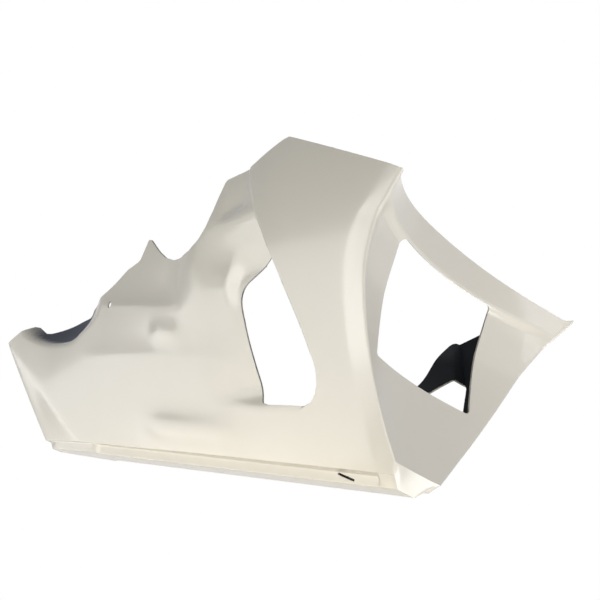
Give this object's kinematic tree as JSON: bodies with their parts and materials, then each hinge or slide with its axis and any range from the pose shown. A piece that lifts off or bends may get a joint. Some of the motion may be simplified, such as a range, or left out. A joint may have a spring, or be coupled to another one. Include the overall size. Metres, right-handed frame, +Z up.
{
  "type": "motorcycle belly pan",
  "caption": "Glossy cream glass-fibre belly pan of a racing motorcycle, an open trough with a concave front fascia, side gills and a hollow keel.",
  "frame": {"origin": "on the keel's flat underside, in the motorcycle's middle plane, near the middle of the length", "axes": "+X to the motorcycle's front, +Y to its left, +Z up"},
  "size_m": [0.8672, 0.4143, 0.3534],
  "materials": {
    "gelcoat": "gloss"
  },
  "bodies": {
    "root": {"belly_pan": "gelcoat"}
  },
  "joints": []
}
